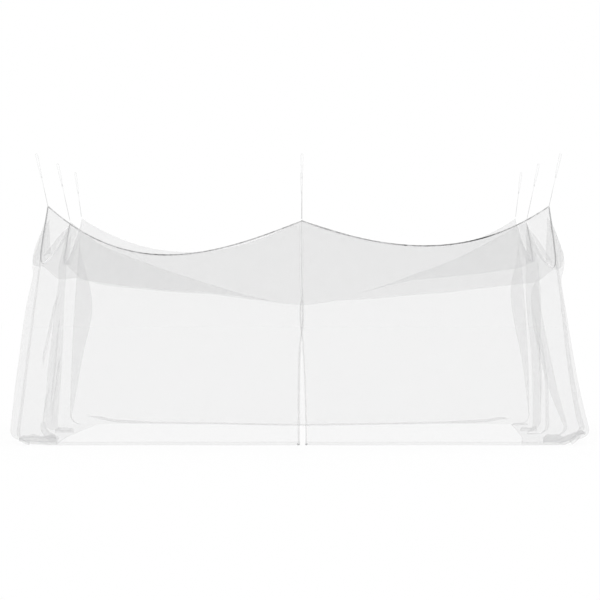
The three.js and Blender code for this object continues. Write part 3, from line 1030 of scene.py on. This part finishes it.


# Twisted string, its lay shown by slanting ribs, paler at its loops and knots: partly worn, partly
# painted light against the knots' shade
def string_material(name, low, high):
    nodes = Nodes(name)
    wave = nodes.add("ShaderNodeTexWave", wave_type="BANDS", bands_direction="DIAGONAL")
    fill(wave, {"Scale": LAY_SCALE, "Distortion": LAY_DISTORTION})
    nodes.link(nodes.place(), wave.inputs["Vector"])
    lay = wave.outputs["Fac"]
    rough = nodes.math("ADD", lay, nodes.noise(STRING_MOTTLE_SCALE))
    mottle = nodes.math("MULTIPLY", rough, STRING_MOTTLE)
    height = nodes.split(nodes.place())["Z"]
    # Paler towards the top: partly wear, partly painted light on the knots
    wear_and_light = nodes.fade(height, -LOOP_LENGTH - WEAR_AND_LIGHT_START, -LOOP_LENGTH - WEAR_AND_LIGHT_FULL)
    tone = nodes.math("ADD", mottle, nodes.math("MULTIPLY", wear_and_light, WEAR_AND_LIGHT_SHARE))
    nodes.colour(tone, low, high)
    nodes.bump(lay, strength=0.5, distance=0.0006)
    nodes.finish(roughness=0.85, specular=0.2)
    return nodes.material


NET = net_material("net", (0.612, 0.612, 0.616), (0.628, 0.628, 0.63), thin=0.07, thick=0.235)
# The hem's net is denser than the net, and its darker colour is painted shade of its folded layers
HEM = net_material("net_hem", (0.55, 0.55, 0.553), (0.57, 0.57, 0.57), thin=0.2, thick=0.4)
# The tapes' grey outside is partly painted shade
TAPE_LONG = tape_material(
    "tape_long", (0.06, 0.06, 0.062), (0.75, 0.75, 0.752), mottling=1.24, fade=long_painted_light_and_shade
)
TAPE_SIDE = tape_material(
    "tape_side", (0.3, 0.3, 0.303), (0.85, 0.85, 0.852), mottling=0.33, fade=side_painted_light
)
# The tapes' white inside glows: painted light on their lit inner faces
TAPE_INSIDE_PAINTED_LIGHT = tape_material("tape_inside_painted_light", (0.9, 0.9, 0.9), (0.98, 0.98, 0.98), mottling=1.0, glow=0.17)
STRING = string_material("string", (0.62, 0.62, 0.62), (0.9, 0.9, 0.9))


# Net panels

def cloth_piece(name, grid, material=NET, nodes=()):
    return add_piece(name, grid_mesh(name, grid), [material], nodes)


def wall_grid(name, places, leaf):
    columns = [wall_column(name, place, leaf) for place in places]
    return [list(row) for row in zip(*columns)]


def roof_net():
    deep = edge_places("left", ROOF_STEPS)
    grid = [[roof_point(x, y) for x in roof_places()] for y in reversed(deep)]
    return cloth_piece("roof_net", grid, nodes=["roof"])


def leaf_net(leaf):
    places = leaf_places(leaf)
    grid = wall_grid("front", places, leaf)
    piece = cloth_piece(f"front_{leaf}_net", grid, nodes=[f"front_{leaf}_panel"])
    return piece, [hem_band("front", places, leaf), slit_hem(leaf), slit_corner(leaf)]


def wall_net(name):
    places = edge_places(name, steps_of(name))
    piece = cloth_piece(f"{name}_net", wall_grid(name, places, None), nodes=[f"{name}_wall"])
    return piece, [back_hem() if name == "back" else hem_band(name, places, None)]


# Hems and seams

# Rows of points along a hem, from its stitched side to the edge of the cloth
def strip_grid(places, point_at):
    return [[point_at(place, share) for place in places] for share in (1.0, 0.5, 0.0)]


# The turned-in strip along the foot of a wall, a second layer just inside it
def hem_band(wall, places, leaf):
    edge = EDGES[wall]

    def hem_point(place, share):
        if edge.long:
            point = wall_point(wall, place, leaf, SEAM_GAP + HEM_WIDTH * share)
            point.y -= edge.side * HEM_STANDOFF
        else:
            point = wall_column(wall, place, leaf)[-1]
            point.x += edge.side * SIDE_HEM_WIDTH * share
            point.z += HEM_STANDOFF
        return point

    name = f"{wall}_hem" if leaf is None else f"{wall}_{leaf}_hem"
    return cloth_piece(name, strip_grid(places, hem_point))


# The back hem lies folded over itself, and the fold climbs towards the corners
def back_hem():
    def hem_point(place, share):
        taper = ease(min((BACK_HEM_END - abs(place)) / BACK_HEM_TAPER, 1.0))
        low = SEAM_GAP + max(smooth(BACK_HEM_LINE, 1, place), 0.0)
        spread = ease(min(max((abs(place) - SPREAD_START) / SPREAD_REACH, 0.0), 1.0))
        width = lerp(BACK_HEM_WIDTH, BACK_HEM_SPREAD, spread) * taper
        point = wall_point("back", place, None, low + width * share)
        point.y -= HEM_STANDOFF
        return point

    places = [place for place in edge_places("back", LENGTH_STEPS) if abs(place) < BACK_HEM_END]
    return cloth_piece("back_hem", strip_grid(places, hem_point), HEM)


# The turned-in strip along the slit, with only its stitching above the place where the leaves cross
def slit_hem(leaf):
    name = f"slit_{leaf}_hem"
    edge, inwards = slit_edge(leaf)
    grid = []
    for edge_point in wall_column("front", edge, leaf):
        strip = (0.0, SLIT_HEM_WIDTH) if edge_point.z < SLIT_HEM_TOP else SLIT_STITCH
        row = []
        for share in (0.0, 0.5, 1.0):
            point = wall_point("front", edge + inwards * lerp(*strip, share), leaf, edge_point.z)
            row.append(point + Vector((0, HEM_STANDOFF, 0)))
        grid.append(row)
    mesh = grid_mesh(name, grid)
    for face in mesh.polygons:
        face.material_index = 1 if grid[face.index // 2][0].z < SLIT_HEM_TOP else 0
    return add_piece(name, mesh, [NET, HEM])


# The hem folded over itself at the foot of the slit
def slit_corner(leaf):
    name = f"slit_{leaf}_corner"
    edge, inwards = slit_edge(leaf)
    grid = []
    for layer, share in enumerate((0.0, 1.0, 0.0, 1.0)):
        row = []
        for across in (0.0, 1.0):
            place = edge + inwards * SLIT_CORNER * across
            point = wall_point("front", place, leaf, SEAM_GAP + SLIT_CORNER * share)
            row.append(point - Vector((0, HEM_STANDOFF * (layer + 1), 0)))
        grid.append(row)
    return cloth_piece(name, grid, HEM)


# The seam down a corner, which at the front widens towards its foot
def corner_seam(wall, end):
    side = "left" if end < 0 else "right"
    name = f"{wall}_{side}_seam"
    points = wall_column(wall, end * HALF_LENGTH, None if wall == "back" else side)
    top_radius, foot_radius = SEAM_RADII[f"{wall}_{side}"]
    radii = [lerp(foot_radius, top_radius, point.z / points[0].z) for point in points]
    lifted = [Vector((point.x, point.y, max(point.z, radius))) for point, radius in zip(points, radii)]
    return add_piece(name, tube_mesh(name, lifted, radii), [NET])


# Spare cloth of a side wall, loosely rolled on the floor in a bend, thinner at its ends
def tuck(name):
    _, start, end, start_radius, end_radius, turns, bend, rise = TUCKS[name]
    along = Vector((end[0] - start[0], end[1] - start[1], 0)).normalized()
    across = Vector((-along.y, along.x, 0))
    crumple_rate, turn_rate = TUCK_CRUMPLE_RATES
    grid = []
    for ring in range(TUCK_RINGS + 1):
        share = ring / TUCK_RINGS
        full = ease(min(share / TUCK_END, (1 - share) / TUCK_END, 1.0))
        lumpy = 1 + TUCK_LUMPS * unevenness(share * TUCK_LUMP_RATE, start[0], start[1])
        radius = lerp(start_radius, end_radius, share) * lerp(TUCK_THIN, 1.0, full) * lumpy
        x = lerp(start[0], end[0], share)
        y = lerp(start[1], end[1], share)
        middle = Vector((x, y, radius + TUCK_CLEARANCE))
        waver = TUCK_WAVER * radius * unevenness(share * TUCK_WAVER_RATE, start[1], TUCK_WAVER_SEED)
        middle += across * (bend * math.sin(math.pi * share) + waver)
        middle.z += rise * (1 - share) ** TUCK_DROP
        row = []
        for step in range(int(turns * TUCK_STEPS) + 1):
            angle = 2 * math.pi * step / TUCK_STEPS
            crumple = unevenness(share * crumple_rate + start[0], angle * turn_rate, start[1])
            spiral = lerp(*TUCK_SPIRAL, step / (turns * TUCK_STEPS))
            reach = radius * spiral * (1 + TUCK_CRUMPLE * crumple)
            sideways = across * (TUCK_FLATNESS * reach * math.cos(angle))
            row.append(drawn_up(middle + sideways + Vector((0, 0, reach * math.sin(angle)))))
        grid.append(row)
    return cloth_piece(name, grid)


# Tapes round the top: a grey outside, partly painted shade, and a white inside that glows as painted
# light

# The corners of a tape at a place: the outside's top and foot, then the inside's foot and top
def tape_section(name, place):
    half = BINDING_THICKNESS / 2
    bow = edge_bow(name, place)
    lift = edge_stretch(name, place) * BINDING_HEIGHT / 2
    twist = tape_twist(name, place)
    section = []
    for out, up in ((half, lift), (half, -lift), (-half, -lift), (-half, lift)):
        leaning = out * math.cos(twist) + up * math.sin(twist)
        rising = up * math.cos(twist) - out * math.sin(twist)
        plan = beside_edge(name, place, bow + leaning)
        section.append(Vector((*plan, edge_height(name, place) + rising)))
    return section


def tape(name):
    sections = [tape_section(name, place) for place in edge_places(name, steps_of(name))]
    along = running_lengths([section[0] for section in sections])
    around = (0.0, BINDING_HEIGHT, BINDING_HEIGHT + BINDING_THICKNESS, -BINDING_THICKNESS)
    lengths = [(length, height) for length in along for height in around]
    mesh = cloth_mesh(f"{name}_tape", sections, ring_faces(len(sections), TAPE_CORNERS), lengths)
    for face in mesh.polygons:
        section, corner = divmod(face.index, TAPE_CORNERS)
        # The outside faces take the grey tape, partly painted shade, and the others the glowing white
        # inside, painted light
        grey = corner < 2 and section < len(sections) - 1
        face.material_index = 0 if grey else 1
    mesh.update()
    outside = TAPE_LONG if EDGES[name].long else TAPE_SIDE
    return add_piece(f"{name}_tape", mesh, [outside, TAPE_INSIDE_PAINTED_LIGHT], [f"{name}_binding"])


# Cords, each with its knot

# A smooth line through points
def catmull(points, steps):
    line = []
    for index in range(len(points) - 1):
        before = points[max(index - 1, 0)]
        start = points[index]
        end = points[index + 1]
        after = points[min(index + 2, len(points) - 1)]
        leave = (end - before) * 0.5
        arrive = (after - start) * 0.5
        for step in range(steps):
            t = step / steps
            point = start.lerp(end, ease(t)) + leave * (t * (1 - t) * (1 - t))
            line.append(point + arrive * (t * t * (t - 1)))
    line.append(points[-1].copy())
    return line


# A cord's foot and the top of its loop. The slanting end of a middle cord is raised so that its
# low rim clears the tape too.
def cord_ends(name):
    edge, place, corner, lean_x, lean_y = CORDS[name]
    plan = beside_edge(edge, place, edge_bow(edge, place))
    lean = math.hypot(lean_x, lean_y) / (HANG_HEIGHT - edge_height(edge, place))
    clear = PIECE_GAP + lean * CORD_DIAMETER / 2
    rest = 0.0 if corner else edge_stretch(edge, place) * BINDING_HEIGHT / 2 + clear
    foot = Vector((*plan, edge_height(edge, place) + rest))
    hook = Vector((plan[0] + lean_x, plan[1] + lean_y, HANG_HEIGHT - CORD_DIAMETER / 2))
    return foot, hook


# Points up a cord's stem and round its loop
def cord_route(foot, knot_place, up, sideways):
    half = LOOP_WIDTH / 2 - CORD_DIAMETER / 2
    shoulder = LOOP_LENGTH - half

    def at(along, across):
        return knot_place + up * along + sideways * across

    def strand(side):
        return [
            at(0, side * LOOP_MOUTH / 2),
            at(shoulder * LOOP_OPENING, side * half * LOOP_STRAIGHT),
            at(shoulder * LOOP_STRAIGHT, side * half),
            at(shoulder, side * half),
        ]

    crown = []
    for degrees in CROWN_TURNS:
        angle = math.radians(degrees)
        crown.append(at(shoulder + half * math.sin(angle), -half * math.cos(angle)))
    stem = [foot.lerp(at(-STEM_END, 0), step / STEM_STEPS) for step in range(STEM_STEPS + 1)]
    return stem + catmull(strand(-1) + crown + strand(1)[::-1], LOOP_STEPS)


def cord_curve(name, route):
    curve = bpy.data.curves.new(name, "CURVE")
    curve.dimensions = "3D"
    spline = curve.splines.new("POLY")
    spline.points.add(len(route) - 1)
    for spline_point, point in zip(spline.points, route):
        spline_point.co = (*in_frame(point), 1)
    curve.bevel_depth = CORD_DIAMETER / 2
    curve.bevel_resolution = CORD_ROUNDING
    curve.use_fill_caps = True
    return curve


def cord(name):
    foot, hook = cord_ends(name)
    up = (hook - foot).normalized()
    sideways = (Vector((1, 0, 0)) - up * up.x).normalized()
    knot_place = hook - up * LOOP_LENGTH
    route = cord_route(foot, knot_place, up, sideways)
    curve = cord_curve(f"cord_{name}", route)
    piece = add_piece(f"cord_{name}", curve, [STRING], [f"{name}_cord"])
    knot = knot_piece(f"knot_{name}", knot_place, up, sideways)


# Turns of string round the foot of the loop
def knot_piece(name, middle, up, sideways):
    other = up.cross(sideways)
    last = KNOT_TURNS * KNOT_STEPS
    points = []
    for step in range(last + 1):
        angle = 2 * math.pi * step / KNOT_STEPS
        along = (step / last - 0.5) * KNOT_LENGTH
        around = sideways * math.cos(angle) + other * math.sin(angle)
        points.append(middle + up * along + around * KNOT_RADIUS)
    radii = [KNOT_STRING_RADIUS] * len(points)
    return add_piece(name, tube_mesh(name, points, radii), [STRING])


# Putting the net together

def build_net():
    roof = roof_net()
    tapes = [tape(name) for name in EDGES]
    for leaf, end in (("left", -1), ("right", 1)):
        piece, hems = leaf_net(leaf)
        seam = corner_seam("front", end)
    for name in ("left", "right", "back"):
        piece, hems = wall_net(name)
        seams = [corner_seam("back", end) for end in (-1, 1)] if name == "back" else []
        rolls = [tuck(roll) for roll in TUCKS if TUCKS[roll][0] == name]
    for name in CORDS:
        cord(name)


# Floor, light and camera

def add_floor():
    mesh = bpy.data.meshes.new("floor")
    corners = [(-1, -1), (1, -1), (1, 1), (-1, 1)]
    points = [(x * FLOOR_HALF, y * FLOOR_HALF, -HANG_HEIGHT - FLOOR_DROP) for x, y in corners]
    mesh.from_pydata(points, [], [(0, 1, 2, 3)])
    floor = bpy.data.objects.new("floor", mesh)
    bpy.context.scene.collection.objects.link(floor)
    nodes = Nodes("floor_white")
    fill(nodes.shader, {"Base Color": (FLOOR_GREY, FLOOR_GREY, FLOOR_GREY, 1)})
    nodes.finish(roughness=1.0, specular=0.0, glow=FLOOR_GLOW)
    mesh.materials.append(nodes.material)


def add_light():
    world = bpy.data.worlds.new("white_studio")
    world.use_nodes = True
    background = world.node_tree.nodes["Background"]
    fill(background, {"Color": (1, 1, 1, 1), "Strength": SKY_STRENGTH})
    bpy.context.scene.world = world


def add_camera():
    data = bpy.data.cameras.new("camera")
    data.sensor_width = CAMERA_SENSOR
    data.lens = CAMERA_LENS
    data.shift_x, data.shift_y = CAMERA_SHIFT
    data.clip_end = CAMERA_REACH
    camera = bpy.data.objects.new("camera", data)
    camera.location = CAMERA_PLACE
    camera.rotation_euler = (math.radians(90), 0, 0)
    bpy.context.scene.collection.objects.link(camera)
    bpy.context.scene.camera = camera


# Plain colours, and light that passes through many layers of cloth
def set_view():
    scene = bpy.context.scene
    scene.view_settings.view_transform = "Standard"
    scene.view_settings.look = "None"
    scene.cycles.transparent_max_bounces = CLOTH_LAYERS


build_net()
add_floor()
add_light()
add_camera()
set_view()
